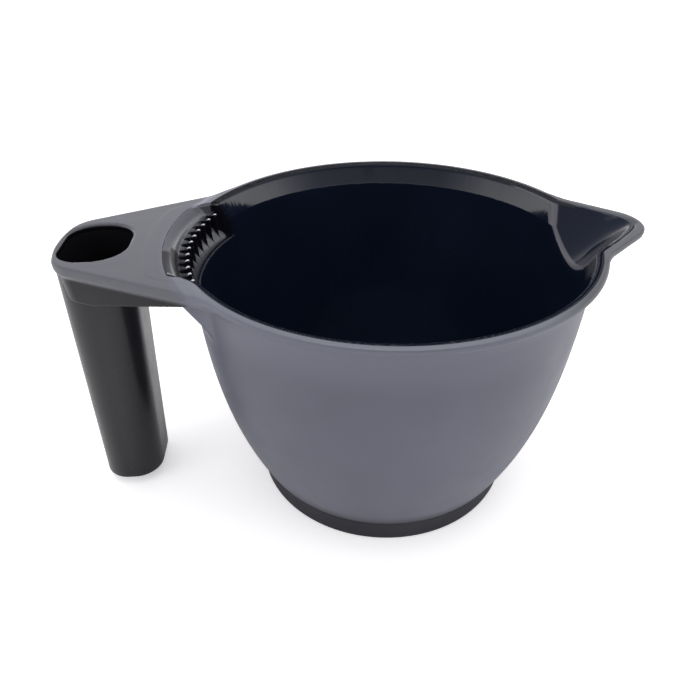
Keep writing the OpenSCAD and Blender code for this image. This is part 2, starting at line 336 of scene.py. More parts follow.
def nets(f, lo, hi, h, B=8, slack=1.35):
    lo = np.asarray(lo, float); hi = np.asarray(hi, float)
    nb = np.ceil((hi - lo) / (B * h)).astype(int)
    bx, by, bz = [np.arange(n) for n in nb]
    blocks = np.stack(np.meshgrid(bx, by, bz, indexing="ij"), -1).reshape(-1, 3)
    cen = lo + (blocks + 0.5) * B * h
    act = np.abs(chunked(f, cen)) < 0.5 * math.sqrt(3) * B * h * slack
    blocks = blocks[act]
    s = np.arange(B + 1)
    off = np.stack(np.meshgrid(s, s, s, indexing="ij"), -1).reshape(-1, 3)
    NX, NY, NZ = nb * B + 2
    ids, verts, edges = [], [], []
    c8 = np.array([[0,0,0],[1,0,0],[0,1,0],[1,1,0],[0,0,1],[1,0,1],[0,1,1],[1,1,1]])
    e12 = [(0,1),(2,3),(4,5),(6,7),(0,2),(1,3),(4,6),(5,7),(0,4),(1,5),(2,6),(3,7)]
    step = 1500
    for s0 in range(0, len(blocks), step):
        bl = blocks[s0:s0 + step]
        base = bl[:, None, :] * B + off[None]
        V = f((lo + base.reshape(-1, 3) * h)).reshape(len(bl), B + 1, B + 1, B + 1)
        neg = V < 0
        cnt = np.zeros((len(bl), B, B, B), np.int8)
        for c in c8:
            cnt += neg[:, c[0]:c[0] + B, c[1]:c[1] + B, c[2]:c[2] + B]
        m = (cnt > 0) & (cnt < 8)
        bi, i, j, k = np.nonzero(m)
        if len(bi):
            vals = np.stack([V[bi, i + c[0], j + c[1], k + c[2]] for c in c8], 1)
            acc = np.zeros((len(bi), 3)); n = np.zeros(len(bi))
            for a, b in e12:
                va, vb = vals[:, a], vals[:, b]
                x = (va < 0) != (vb < 0)
                t = np.where(x, va / np.where(x, va - vb, 1), 0)
                p = c8[a] + t[:, None] * (c8[b] - c8[a])
                acc += np.where(x[:, None], p, 0); n += x
            g = bl[bi] * B + np.stack([i, j, k], 1)
            verts.append(lo + (g + acc / n[:, None]) * h)
            g = g + 1
            ids.append((g[:, 0] * NY + g[:, 1]) * NZ + g[:, 2])
        for a in range(3):
            sl0 = [slice(None), slice(0, B), slice(0, B), slice(0, B)]
            sl1 = list(sl0); sl1[a + 1] = slice(1, B + 1)
            n0, n1 = neg[tuple(sl0)], neg[tuple(sl1)]
            bi, i, j, k = np.nonzero(n0 != n1)
            if len(bi):
                g = bl[bi] * B + np.stack([i, j, k], 1) + 1
                edges.append((a, g, n0[bi, i, j, k]))
    ids = np.concatenate(ids); verts = np.concatenate(verts)
    order = np.argsort(ids); ids = ids[order]; verts = verts[order]
    quads = []
    lost = 0
    for a, g, inside in edges:
        u, w = (a + 1) % 3, (a + 2) % 3
        du = np.zeros(3, int); du[u] = 1
        dw = np.zeros(3, int); dw[w] = 1
        four = [g - du - dw, g - dw, g, g - du]
        idx, ok = [], np.ones(len(g), bool)
        for q in four:
            key = (q[:, 0] * NY + q[:, 1]) * NZ + q[:, 2]
            pos = np.clip(np.searchsorted(ids, key), 0, len(ids) - 1)
            ok &= ids[pos] == key
            idx.append(pos)
        q = np.stack(idx, 1)
        q[~inside] = q[~inside][:, ::-1]
        lost += int((~ok).sum())
        quads.append(q[ok])
    return verts, np.concatenate(quads), lost


def project(f, V, h, n=3):
    for _ in range(n):
        d = chunked(f, V); g = grad(f, V)
        L = np.maximum((g * g).sum(1), 0.05)
        stp = -(d / L)[:, None] * g
        ln = np.sqrt((stp * stp).sum(1))
        V = V + stp * np.minimum(1.0, 0.4 * h / np.maximum(ln, 1e-9))[:, None]
    return V


def relax(f, V, Q, h, n=2):
    """even out the net along the surface"""
    for _ in range(n):
        acc = np.zeros_like(V); cnt = np.zeros(len(V))
        for a in range(4):
            i, j = Q[:, a], Q[:, (a + 1) % 4]
            for c in range(3):
                acc[:, c] += np.bincount(i, V[j, c], len(V)) + np.bincount(j, V[i, c], len(V))
            cnt += np.bincount(i, minlength=len(V)) + np.bincount(j, minlength=len(V))
        mean = acc / np.maximum(cnt, 1)[:, None]
        g = grad(f, V)
        g /= np.maximum(np.sqrt((g * g).sum(1)), 1e-6)[:, None]
        d = mean - V
        d -= (d * g).sum(1)[:, None] * g
        V = project(f, V + 0.6 * d, h, 1)
    return V


def to_object(name, V, F, normals=None):
    me = bpy.data.meshes.new(name)
    me.vertices.add(len(V)); me.vertices.foreach_set("co", (np.asarray(V) * MM).astype(np.float32).ravel())
    n = F.shape[1]
    me.loops.add(F.size); me.loops.foreach_set("vertex_index", F.astype(np.int32).ravel())
    me.polygons.add(len(F))
    me.polygons.foreach_set("loop_start", (np.arange(len(F)) * n).astype(np.int32))
    me.polygons.foreach_set("loop_total", np.full(len(F), n, np.int32))
    me.update(calc_edges=True)
    me.validate()
    me.polygons.foreach_set("use_smooth", np.ones(len(me.polygons), bool))
    ob = bpy.data.objects.new(name, me)
    bpy.context.scene.collection.objects.link(ob)
    return ob


def set_normals(ob, f, scale=1.0):
    me = ob.data
    co = np.zeros(len(me.vertices) * 3, np.float32)
    me.vertices.foreach_get("co", co)
    P = co.reshape(-1, 3).astype(float) / MM
    g = grad(f, P, 0.015)
    g /= np.maximum(np.sqrt((g * g).sum(1)), 1e-6)[:, None]
    me.normals_split_custom_set_from_vertices(g.astype(np.float32))


def sdf_piece(name, f, lo, hi, h, limit, slack=1.35):
    V, Q, lost = nets(f, lo, hi, h, slack=slack)
    V = project(f, V, h, 3)
    V = relax(f, V, Q, h, 2)
    ob = to_object(name, V, Q)
    tris = 2 * len(Q)
    if tris > limit:
        mod = ob.modifiers.new("thin", "DECIMATE")
        mod.ratio = limit / tris
        dg = bpy.context.evaluated_depsgraph_get()
        me = bpy.data.meshes.new_from_object(ob.evaluated_get(dg))
        ob.modifiers.clear()
        old = ob.data; ob.data = me; bpy.data.meshes.remove(old)
        me.name = name
        co = np.zeros(len(me.vertices) * 3, np.float32)
        me.vertices.foreach_get("co", co)
        P = project(f, co.reshape(-1, 3).astype(float) / MM, h, 2)
        me.vertices.foreach_set("co", (P * MM).astype(np.float32).ravel())
        me.polygons.foreach_set("use_smooth", np.ones(len(me.polygons), bool))
        me.update()
    set_normals(ob, f)
    print("PIECE", name, "verts", len(ob.data.vertices), "faces", len(ob.data.polygons), "lost", lost)
    return ob


# ---------------------------------------------------------------------------
# Lofted pieces: tube, end cap, foot ring
# ---------------------------------------------------------------------------
def rr_ring(a, b, R, n):
    """n points round a rounded rectangle, even in arc length"""
    fine = 4096
    per = 4 * (a - R) + 4 * (b - R) + 2 * math.pi * R
    pts = []
    segs = [((a, -(b - R)), (a, b - R)), None, ((a - R, b), (-(a - R), b)), None,
            ((-a, b - R), (-a, -(b - R))), None, ((-(a - R), -b), (a - R, -b)), None]
    cen = [(a - R, b - R), (-(a - R), b - R), (-(a - R), -(b - R)), (a - R, -(b - R))]
    out = []
    ci = 0
    for s in segs:
        if s is not None:
            p, q = np.array(s[0]), np.array(s[1])
            L = np.linalg.norm(q - p)
            m = max(int(fine * L / per), 2)
            t = np.arange(m) / m
            out.append(p + (q - p) * t[:, None])
        else:
            m = int(fine * (math.pi / 2 * R) / per)
            t = (ci + np.arange(m) / m) * math.pi / 2
            c = cen[ci]
            out.append(np.stack([c[0] + R * np.cos(t), c[1] + R * np.sin(t)], 1))
            ci += 1
    P = np.concatenate(out)
    d = np.r_[0, np.cumsum(np.linalg.norm(np.diff(np.r_[P, P[:1]], axis=0), axis=1))]
    t = np.arange(n) / n * d[-1]
    Q = np.r_[P, P[:1]]
    return np.stack([np.interp(t, d, Q[:, 0]), np.interp(t, d, Q[:, 1])], 1)


def loft(name, rings, cap_lo=True, cap_hi=True, closed=False):
    n = len(rings[0])
    V = np.concatenate(rings)
    F = []
    m = len(rings)
    i = np.arange(n); j = (i + 1) % n
    for k in range(m if closed else m - 1):
        a, b = k * n, ((k + 1) % m) * n
        F.append(np.stack([a + i, a + j, b + j, b + i], 1))
    F = np.concatenate(F)
    me = bpy.data.meshes.new(name)
    faces = [tuple(int(q) for q in f) for f in F]
    verts = [tuple(v * MM) for v in V]
    if cap_lo:
        c = len(verts); verts.append(tuple(rings[0].mean(0) * MM))
        faces += [(c, int(j[q]), int(i[q])) for q in range(n)]
    if cap_hi:
        c = len(verts); verts.append(tuple(rings[-1].mean(0) * MM))
        b = (m - 1) * n
        faces += [(c, int(b + i[q]), int(b + j[q])) for q in range(n)]
    me.from_pydata(verts, [], faces)
    me.validate(); me.update()
    bm = bmesh.new(); bm.from_mesh(me)
    bmesh.ops.recalc_face_normals(bm, faces=bm.faces)
    bm.to_mesh(me); bm.free()
    me.polygons.foreach_set("use_smooth", np.ones(len(me.polygons), bool))
    ob = bpy.data.objects.new(name, me)
    bpy.context.scene.collection.objects.link(ob)
    return ob


def tube_ring(z, off, n, dz=0.0):
    k = 1 - z / H
    c = TC_TOP + (TC_BOT - TC_TOP) * k
    a = TA - TDR * k + off
    b = TB - TDR * k + off
    R = min(10 - k + off, a - 0.05, b - 0.05)
    P = rr_ring(a, b, R, n)
    return np.stack([P[:, 0] - c, P[:, 1], np.full(n, z + dz)], 1)


def arc(n):
    return [math.pi / 2 * i / n for i in range(n + 1)]


def make_tube():
    n = 160
    rings = []
    z0, R = TUBE_Z0, 1.1
    # inside, from the step at the bottom up to the mouth
    zi = [z0 + 0.9] + list(np.linspace(z0 + 1.2, DECK_Z - 3.2, 46))
    inner = [tube_ring(z, -TT, n) for z in zi]
    top = [tube_ring(DECK_Z - 2.42, -TT, n), tube_ring(DECK_Z - 2.42, -0.25, n), tube_ring(DECK_Z - 2.6, -0.03, n)]
    zo = list(np.linspace(DECK_Z - 3.0, z0 + R, 46))
    outer = [tube_ring(z, 0.0, n) for z in zo]
    bot = [tube_ring(z0 + R - R * math.sin(t), -R * (1 - math.cos(t)), n) for t in arc(7)[1:]]
    lipi = [tube_ring(z0 + 0.03, -1.16, n), tube_ring(z0 + 0.12, -1.24, n), tube_ring(z0 + 0.5, -TT, n)]
    # run: bottom inside -> up -> over the top -> down outside -> round the end
    return loft("handle_tube_body", inner + top + outer + bot + lipi, False, False, closed=True)


def make_cap():
    n = 160
    z0 = TUBE_Z0
    rings = [tube_ring(z0 + 5.0, -TT - 1.6, n), tube_ring(z0 + 5.0, -TT - 0.2, n), tube_ring(z0 + 1.2, -TT - 0.12, n),
             tube_ring(z0 + 0.45, -TT - 0.10, n), tube_ring(z0 + 0.2, -TT - 0.2, n), tube_ring(z0 + 0.12, -TT - 0.4, n),
             tube_ring(z0 + 0.1, -TT - 1.2, n)]
    for f in (0.8, 0.55, 0.3, 0.1):
        r = tube_ring(z0 + 0.1, -TT - 1.2, n)
        c = r.mean(0)
        q = c + (r - c) * f
        q[:, 2] = z0 + 0.1 + 0.35 * (1 - f)
        rings.append(q)
    inner = []
    for f in (0.1, 0.3, 0.55, 0.8, 1.0):
        r = tube_ring(z0 + 1.6, -TT - 1.6, n)
        c = r.mean(0)
        inner.append(c + (r - c) * f)
    # the plug's cup: bottom skin, then back up inside
    ob = loft("handle_end_plug", list(reversed(inner))[::-1] + [tube_ring(z0 + 3, -TT - 1.6, n)] + rings, True, True)
    return ob


def make_foot():
    R0, R1 = 46.4, BASE_R
    prof = []
    def rnd(cx, cz, rad, a0, a1, n=6):
        for i in range(n + 1):
            t = math.radians(a0 + (a1 - a0) * i / n)
            prof.append((cx + rad * math.cos(t), cz + rad * math.sin(t)))
    # from the inner lower edge, outwards and up
    rnd(42.6, 0.55, 0.55, 180, 270)
    prof += [(43.2, 0.0), (43.5, 0.22), (44.0, 0.22), (44.3, 0.0)]      # tread groove in the rubber
    rnd(R0 - 0.95, 0.95, 0.95, -90, -4)
    for t in np.linspace(0.15, 0.93, 12):
        z = FOOT_H * t
        prof.append((R0 + (R1 - 0.03 - R0) * t, z))
    rnd(R1 - 0.42, FOOT_H - 0.36, 0.34, 0, 90, 5)
    prof += [(44.45, FOOT_H - 0.02), (44.45, 6.6), (45.05, 6.0), (45.05, 5.2), (44.45, 4.6), (44.45, 2.02), (41.7, 2.02), (42.05, 1.2)]
    n = 256
    rings = []
    for k in range(len(prof)):
        r, z = prof[k]
        t = np.arange(n) / n * 2 * math.pi
        rings.append(np.stack([r * np.cos(t), r * np.sin(t), np.full(n, z)], 1))
    return loft("foot_ring_rubber", rings, False, False, closed=True)


def sharp_by_angle(ob, deg):
    bm = bmesh.new(); bm.from_mesh(ob.data)
    lim = math.radians(deg)
    for e in bm.edges:
        if len(e.link_faces) == 2 and e.calc_face_angle(0) > lim:
            e.smooth = False
    bm.to_mesh(ob.data); bm.free()


# ---------------------------------------------------------------------------
# Materials
# ---------------------------------------------------------------------------
def nt(mat):
    mat.use_nodes = True
    t = mat.node_tree
    for n in list(t.nodes):
        t.nodes.remove(n)
    out = t.nodes.new("ShaderNodeOutputMaterial")
    bs = t.nodes.new("ShaderNodeBsdfPrincipled")
    t.links.new(bs.outputs[0], out.inputs[0])
    return t, bs


def noise(t, coord, scale, detail=4, rough=0.5):
    n = t.nodes.new("ShaderNodeTexNoise")
    n.inputs["Scale"].default_value = scale
    n.inputs["Detail"].default_value = detail
    n.inputs["Roughness"].default_value = rough
    t.links.new(coord, n.inputs["Vector"])
    return n


def ramp(t, src, stops):
    r = t.nodes.new("ShaderNodeValToRGB")
    cr = r.color_ramp
    while len(cr.elements) > 1:
        cr.elements.remove(cr.elements[-1])
    cr.elements[0].position = stops[0][0]; cr.elements[0].color = stops[0][1]
    for p, c in stops[1:]:
        e = cr.elements.new(p); e.color = c
    t.links.new(src, r.inputs[0])
    return r


def maprange(t, src, a, b, c, d):
    m = t.nodes.new("ShaderNodeMapRange")
    m.inputs[1].default_value = a; m.inputs[2].default_value = b
    m.inputs[3].default_value = c; m.inputs[4].default_value = d
    t.links.new(src, m.inputs[0])
    return m


def mix(t, fac, a, b, mode="MIX"):
    m = t.nodes.new("ShaderNodeMix")
    m.data_type = "RGBA"; m.blend_type = mode
    for sock, val in ((m.inputs[0], fac), (m.inputs[6], a), (m.inputs[7], b)):
        if hasattr(val, "is_linked") or isinstance(val, bpy.types.NodeSocket):
            t.links.new(val, sock)
        else:
            sock.default_value = val
    return m.outputs[2]


def math_node(t, op, a, b=None):
    m = t.nodes.new("ShaderNodeMath"); m.operation = op
    for s, v in ((m.inputs[0], a), (m.inputs[1], b)):
        if v is None:
            continue
        if isinstance(v, bpy.types.NodeSocket):
            t.links.new(v, s)
        else:
            s.default_value = v
    return m.outputs[0]


def satin(name, col, rough=0.38, grain=2600, bump=0.05, edge=0.5, spec=0.5):
    """moulded satin plastic: fine spark-eroded grain, faint flow marks, lighter worn edges"""
    mat = bpy.data.materials.new(name)
    t, bs = nt(mat)
    tc = t.nodes.new("ShaderNodeTexCoord")
    obj = tc.outputs["Object"]
    big = noise(t, obj, 14, 3, 0.55)
    mid = noise(t, obj, 90, 4, 0.55)
    fine = noise(t, obj, grain, 2, 0.6)
    geo = t.nodes.new("ShaderNodeNewGeometry")
    worn = maprange(t, geo.outputs["Pointiness"], 0.515, 0.60, 0.0, 1.0)
    wornb = math_node(t, "MULTIPLY", worn.outputs[0], maprange(t, mid.outputs[0], 0.35, 0.7, 0.4, 1.0).outputs[0])
    wf = math_node(t, "MULTIPLY", wornb, edge)
    dark = tuple(c * 0.86 for c in col) + (1,)
    lite = tuple(min(c * 1.14, 1) for c in col) + (1,)
    base = ramp(t, big.outputs[0], [(0.3, dark), (0.7, lite)])
    worn_col = tuple(min(c * 2.0 + 0.02, 1) for c in col) + (1,)
    c1 = mix(t, wf, base.outputs[0], worn_col)
    t.links.new(c1, bs.inputs["Base Color"])
    r1 = maprange(t, mid.outputs[0], 0.3, 0.7, rough - 0.035, rough + 0.045)
    r2 = math_node(t, "SUBTRACT", r1.outputs[0], math_node(t, "MULTIPLY", wf, 0.10))
    t.links.new(r2, bs.inputs["Roughness"])
    bs.inputs["Specular IOR Level"].default_value = spec
    bmp = t.nodes.new("ShaderNodeBump")
    bmp.inputs["Strength"].default_value = bump
    bmp.inputs["Distance"].default_value = 0.0002
    t.links.new(fine.outputs[0], bmp.inputs["Height"])
    b2 = t.nodes.new("ShaderNodeBump")
    b2.inputs["Strength"].default_value = 0.03
    b2.inputs["Distance"].default_value = 0.0008
    t.links.new(mid.outputs[0], b2.inputs["Height"])
    t.links.new(bmp.outputs[0], b2.inputs["Normal"])
    t.links.new(b2.outputs[0], bs.inputs["Normal"])
    return mat


def gloss(name, col, rough=0.055, wave=0.05, worn_col=None, edge=0.0, smear=0.05):
    """polished black plastic: near mirror, slight mould waviness, faint wipe marks"""
    mat = bpy.data.materials.new(name)
    t, bs = nt(mat)
    tc = t.nodes.new("ShaderNodeTexCoord")
    obj = tc.outputs["Object"]
    big = noise(t, obj, 22, 2, 0.5)
    mid = noise(t, obj, 160, 5, 0.6)
    base = ramp(t, big.outputs[0], [(0.3, tuple(c * 0.8 for c in col) + (1,)), (0.75, tuple(c * 1.25 for c in col) + (1,))])
    last = base.outputs[0]
    geo = t.nodes.new("ShaderNodeNewGeometry")
    worn = maprange(t, geo.outputs["Pointiness"], 0.53, 0.64, 0.0, 1.0)
    wf = math_node(t, "MULTIPLY", worn.outputs[0], edge)
    last = mix(t, wf, last, (worn_col or (0.3, 0.3, 0.32)) + (1,))
    t.links.new(last, bs.inputs["Base Color"])
    r = maprange(t, mid.outputs[0], 0.42, 0.75, rough, rough + smear)
    r2 = math_node(t, "ADD", r.outputs[0], math_node(t, "MULTIPLY", wf, 0.2))
    t.links.new(r2, bs.inputs["Roughness"])
    bs.inputs["Specular IOR Level"].default_value = 0.5
    b = t.nodes.new("ShaderNodeBump")
    b.inputs["Strength"].default_value = wave
    b.inputs["Distance"].default_value = 0.0015
    t.links.new(big.outputs[0], b.inputs["Height"])
    t.links.new(b.outputs[0], bs.inputs["Normal"])
    return mat


def rubber(name, col):
    mat = bpy.data.materials.new(name)
    t, bs = nt(mat)
    tc = t.nodes.new("ShaderNodeTexCoord")
    obj = tc.outputs["Object"]
    big = noise(t, obj, 40, 4, 0.6)
    fine = noise(t, obj, 3200, 2, 0.6)
    base = ramp(t, big.outputs[0], [(0.3, tuple(c * 0.8 for c in col) + (1,)), (0.72, tuple(c * 1.22 for c in col) + (1,))])
    geo = t.nodes.new("ShaderNodeNewGeometry")
    worn = maprange(t, geo.outputs["Pointiness"], 0.52, 0.62, 0.0, 0.4)
    last = mix(t, worn.outputs[0], base.outputs[0], tuple(min(c * 2.2, 1) for c in col) + (1,))
    t.links.new(last, bs.inputs["Base Color"])
    r = maprange(t, big.outputs[0], 0.3, 0.7, 0.5, 0.62)
    t.links.new(r.outputs[0], bs.inputs["Roughness"])
    bs.inputs["Specular IOR Level"].default_value = 0.18
    b = t.nodes.new("ShaderNodeBump")
    b.inputs["Strength"].default_value = 0.12
    b.inputs["Distance"].default_value = 0.0002
    t.links.new(fine.outputs[0], b.inputs["Height"])
    t.links.new(b.outputs[0], bs.inputs["Normal"])
    return mat


def spot(t, lo, hi, axis_expr):
    """soft step of a scalar socket between lo and hi"""
    m = maprange(t, axis_expr, lo, hi, 0.0, 1.0)
    m.interpolation_type = "SMOOTHSTEP"
    return m.outputs[0]


def radius_and_z(t):
    tc = t.nodes.new("ShaderNodeTexCoord")
    sp = t.nodes.new("ShaderNodeSeparateXYZ")
    t.links.new(tc.outputs["Object"], sp.inputs[0])
    xx = math_node(t, "MULTIPLY", sp.outputs[0], sp.outputs[0])
    yy = math_node(t, "MULTIPLY", sp.outputs[1], sp.outputs[1])
    r = math_node(t, "SQRT", math_node(t, "ADD", xx, yy))
    return sp, r


def retint(mat, mask_of, col, rough, spec=None):
    """another colour and roughness where the mask is 1"""
    t = mat.node_tree
    bs = [n for n in t.nodes if n.type == "BSDF_PRINCIPLED"][0]
    m = mask_of(t)
    c0 = bs.inputs["Base Color"].links[0].from_socket
    r0 = bs.inputs["Roughness"].links[0].from_socket
    t.links.new(mix(t, m, c0, tuple(col) + (1,)), bs.inputs["Base Color"])
    if spec is not None:
        sin = bs.inputs["Specular IOR Level"]
        s0 = sin.links[0].from_socket if sin.links else sin.default_value
        e = math_node(t, "SUBTRACT", spec, s0)
        t.links.new(math_node(t, "ADD", s0, math_node(t, "MULTIPLY", e, m)), sin)
    d = math_node(t, "SUBTRACT", rough, r0)
    t.links.new(math_node(t, "ADD", r0, math_node(t, "MULTIPLY", d, m)), bs.inputs["Roughness"])


def skirt_mask(t):
    sp, r = radius_and_z(t)
    a = spot(t, 0.0690, 0.0705, r)
    b = spot(t, 0.0904, 0.0892, sp.outputs[2])
    c = spot(t, -0.040, -0.045, sp.outputs[0])
    return math_node(t, "MULTIPLY", math_node(t, "MULTIPLY", a, b), c)


def hole_mask(t):
    """inside of the brush hole, below the deck's rounded edge"""
    sp, r = radius_and_z(t)
    a = spot(t, 0.0815, 0.0820, r)
    b = spot(t, 0.0934, 0.0928, sp.outputs[2])
    geo = t.nodes.new("ShaderNodeNewGeometry")
    ax = math_node(t, "ADD", sp.outputs[0], 0.0924)
    dv = t.nodes.new("ShaderNodeCombineXYZ")
    t.links.new(ax, dv.inputs[0]); t.links.new(sp.outputs[1], dv.inputs[1])
    dp = t.nodes.new("ShaderNodeVectorMath"); dp.operation = "DOT_PRODUCT"
    t.links.new(dv.outputs[0], dp.inputs[0]); t.links.new(geo.outputs["Normal"], dp.inputs[1])
    c = spot(t, 0.0, -0.001, dp.outputs["Value"])
    return math_node(t, "MULTIPLY", math_node(t, "MULTIPLY", a, b), c)


def facing(t, vec_or_axis):
    """dot product of the surface normal with an axis"""
    geo = t.nodes.new("ShaderNodeNewGeometry")
    dp = t.nodes.new("ShaderNodeVectorMath"); dp.operation = "DOT_PRODUCT"
    t.links.new(geo.outputs["Normal"], dp.inputs[0])
    dp.inputs[1].default_value = vec_or_axis
    return dp.outputs["Value"]


def mouth_highlight_mask(t):
    """painted highlight on the upward-facing rounded edge where the spout's channel leaves the bowl"""
    sp, r = radius_and_z(t)
    up = math_node(t, "MULTIPLY", math_node(t, "MAXIMUM", math_node(t, "SUBTRACT", sp.outputs[2], 0.087), 0.0), 0.309)
    d = math_node(t, "SUBTRACT", math_node(t, "SUBTRACT", r, 0.0615), up)
    m = math_node(t, "MULTIPLY", spot(t, -0.0003, -0.0001, d), spot(t, 0.0014, 0.0010, d))
    m = math_node(t, "MULTIPLY", m, spot(t, 0.34, 0.40, facing(t, (0, 0, 1))))
    return math_node(t, "MULTIPLY", m, spot(t, 0.050, 0.053, sp.outputs[0]))


# painted reflection: grey on the near side of the spout's channel, where it faces +y
def near_side_reflection_mask(t):
    sp, r = radius_and_z(t)
    m = math_node(t, "MULTIPLY", spot(t, 0.0615, 0.0625, r), spot(t, 0.055, 0.058, sp.outputs[0]))
    return math_node(t, "MULTIPLY", m, spot(t, 0.12, 0.30, facing(t, (0, 1, 0))))


# painted light: the comb pocket's top bevel is lighter except at its near end
def bevel_lit_mask(t):
    sp, r = radius_and_z(t)
    a = spot(t, 0.0684, 0.0690, r)
    b = spot(t, 0.0922, 0.0930, sp.outputs[2])
    m = math_node(t, "MULTIPLY", a, b)
    return math_node(t, "MULTIPLY", m, spot(t, -0.0095, -0.0070, sp.outputs[1]))


def back_lit_mask(t):
    """painted light: upper part of the comb's back slope, paler towards one end, where it is lit"""
    sp, r = radius_and_z(t)
    m = math_node(t, "MULTIPLY", spot(t, 0.0652, 0.0657, r), spot(t, 0.0902, 0.0908, sp.outputs[2]))
    return math_node(t, "MULTIPLY", m, spot(t, -0.0060, -0.0035, sp.outputs[1]))


def back_shadow_mask(t):
    """painted shadow: the other end of the back slope is dark, shadowed by the pocket's near end"""
    sp, r = radius_and_z(t)
    m = math_node(t, "MULTIPLY", spot(t, 0.0652, 0.0657, r), spot(t, 0.0690, 0.0684, r))
    m = math_node(t, "MULTIPLY", m, spot(t, 0.0855, 0.0865, sp.outputs[2]))
    return math_node(t, "MULTIPLY", m, spot(t, -0.0035, -0.0060, sp.outputs[1]))


# painted light: the upward-facing ledge under the teeth is lighter, more so towards the far end
def ledge_lit_mask(t):
    sp, r = radius_and_z(t)
    m = math_node(t, "MULTIPLY", spot(t, 0.0855, 0.0848, sp.outputs[2]), spot(t, 0.36, 0.52, facing(t, (0, 0, 1))))
    y = maprange(t, sp.outputs[1], -0.022, 0.012, 0.25, 1.0)
    return math_node(t, "MULTIPLY", m, y.outputs[0])


# painted highlight: near-white caps on the upward faces of the teeth's nubs
def nub_highlight_mask(t):
    sp, r = radius_and_z(t)
    a = spot(t, 0.06475, 0.06445, r)
    b = spot(t, 0.0893, 0.0898, sp.outputs[2])
    yy = math_node(t, "ABSOLUTE", sp.outputs[1])
    c = spot(t, 0.0275, 0.0272, yy)
    m = math_node(t, "MULTIPLY", math_node(t, "MULTIPLY", a, b), c)
    return math_node(t, "MULTIPLY", m, spot(t, 0.60, 0.76, facing(t, (0, 0, 1))))


def inner_edge_mask(t):
    """inner edge of the rim, in the liner's colour with a matte finish"""
    sp, r = radius_and_z(t)
    a = spot(t, 0.06585, 0.06560, r)
    return math_node(t, "MULTIPLY", a, spot(t, 0.0915, 0.0920, sp.outputs[2]))


def liner_lip_mask(t):
    sp, r = radius_and_z(t)
    return math_node(t, "MULTIPLY", spot(t, 0.09345, 0.09370, sp.outputs[2]), spot(t, 0.0690, 0.0670, r))


# painted light: the far side of a masked edge is made a lighter grey
def far_side_lit(t, mask_of):
    sp, r = radius_and_z(t)
    return math_node(t, "MULTIPLY", mask_of(t), spot(t, -0.004, 0.010, sp.outputs[1]))


def low_wall_shade_mask(t):
    """painted shade: the wall darkens towards the ring"""
    sp, r = radius_and_z(t)
    return spot(t, 0.0170, 0.0105, sp.outputs[2])


def foot_edge_mask(t):
    sp, r = radius_and_z(t)
    return spot(t, 0.0108, 0.0101, sp.outputs[2])


def rim_spout_mask(t):
    """darker and more neutral along the spout"""
    sp, r = radius_and_z(t)
    return math_node(t, "MULTIPLY", spot(t, 0.030, 0.052, sp.outputs[0]), spot(t, 0.0895, 0.0915, sp.outputs[2]))


# painted highlight on the upward-facing top of the rim
def rim_top_highlight_mask(t):
    sp, r = radius_and_z(t)
    a = math_node(t, "MULTIPLY", spot(t, 0.0655, 0.0660, r), spot(t, 0.0705, 0.0695, r))
    b = spot(t, 0.45, 0.80, facing(t, (0, 0, 1)))
    c = spot(t, 0.0925, 0.0932, sp.outputs[2])
    return math_node(t, "MULTIPLY", math_node(t, "MULTIPLY", a, b), c)


# painted light: the upper part of the outer wall is made lighter
def upper_wall_light_mask(t):
    sp, r = radius_and_z(t)
    a = math_node(t, "MULTIPLY", spot(t, 0.0715, 0.0695, r), spot(t, 0.074, 0.088, sp.outputs[2]))
    return math_node(t, "MULTIPLY", a, spot(t, 0.35, 0.20, facing(t, (0, 0, 1))))


def deck_mask(t):
    """the handle's flat top, a more neutral grey than the wall"""
    sp, r = radius_and_z(t)
    a = math_node(t, "MULTIPLY", spot(t, 0.0690, 0.0730, r), spot(t, -0.035, -0.050, sp.outputs[0]))
    return math_node(t, "MULTIPLY", a, spot(t, 0.086, 0.089, sp.outputs[2]))


def pocket_mask(t):
    """walls of the comb pocket, facing the bowl"""
    sp, r = radius_and_z(t)
    a = spot(t, 0.0935, 0.0931, sp.outputs[2])
    b = spot(t, 0.0722, 0.0718, r)
    c = spot(t, -0.045, -0.047, sp.outputs[0])
    geo = t.nodes.new("ShaderNodeNewGeometry")
    dv = t.nodes.new("ShaderNodeCombineXYZ")
    t.links.new(sp.outputs[0], dv.inputs[0]); t.links.new(sp.outputs[1], dv.inputs[1])
    dp = t.nodes.new("ShaderNodeVectorMath"); dp.operation = "DOT_PRODUCT"
    t.links.new(dv.outputs[0], dp.inputs[0]); t.links.new(geo.outputs["Normal"], dp.inputs[1])
    d = spot(t, 0.0, -0.002, dp.outputs["Value"])
    m = math_node(t, "MULTIPLY", math_node(t, "MULTIPLY", a, b), c)
    return math_node(t, "MULTIPLY", m, d)


M_SHELL = satin("satin_charcoal", (0.108, 0.112, 0.150), rough=0.38, edge=0.6)
# painted light on the upper wall
retint(M_SHELL, upper_wall_light_mask, (0.134, 0.139, 0.180), 0.40)
retint(M_SHELL, deck_mask, (0.100, 0.104, 0.118), 0.38)
# painted highlight along the rim's top
retint(M_SHELL, rim_top_highlight_mask, (0.150, 0.158, 0.188), 0.40)
retint(M_SHELL, rim_spout_mask, (0.076, 0.079, 0.088), 0.40)
# painted shade low on the wall
retint(M_SHELL, low_wall_shade_mask, (0.068, 0.070, 0.094), 0.40)
retint(M_SHELL, foot_edge_mask, (0.036, 0.036, 0.044), 0.50)
retint(M_SHELL, skirt_mask, (0.006, 0.006, 0.008), 0.30, 0.26)
retint(M_SHELL, inner_edge_mask, (0.006, 0.009, 0.018), 0.40, 0.06)
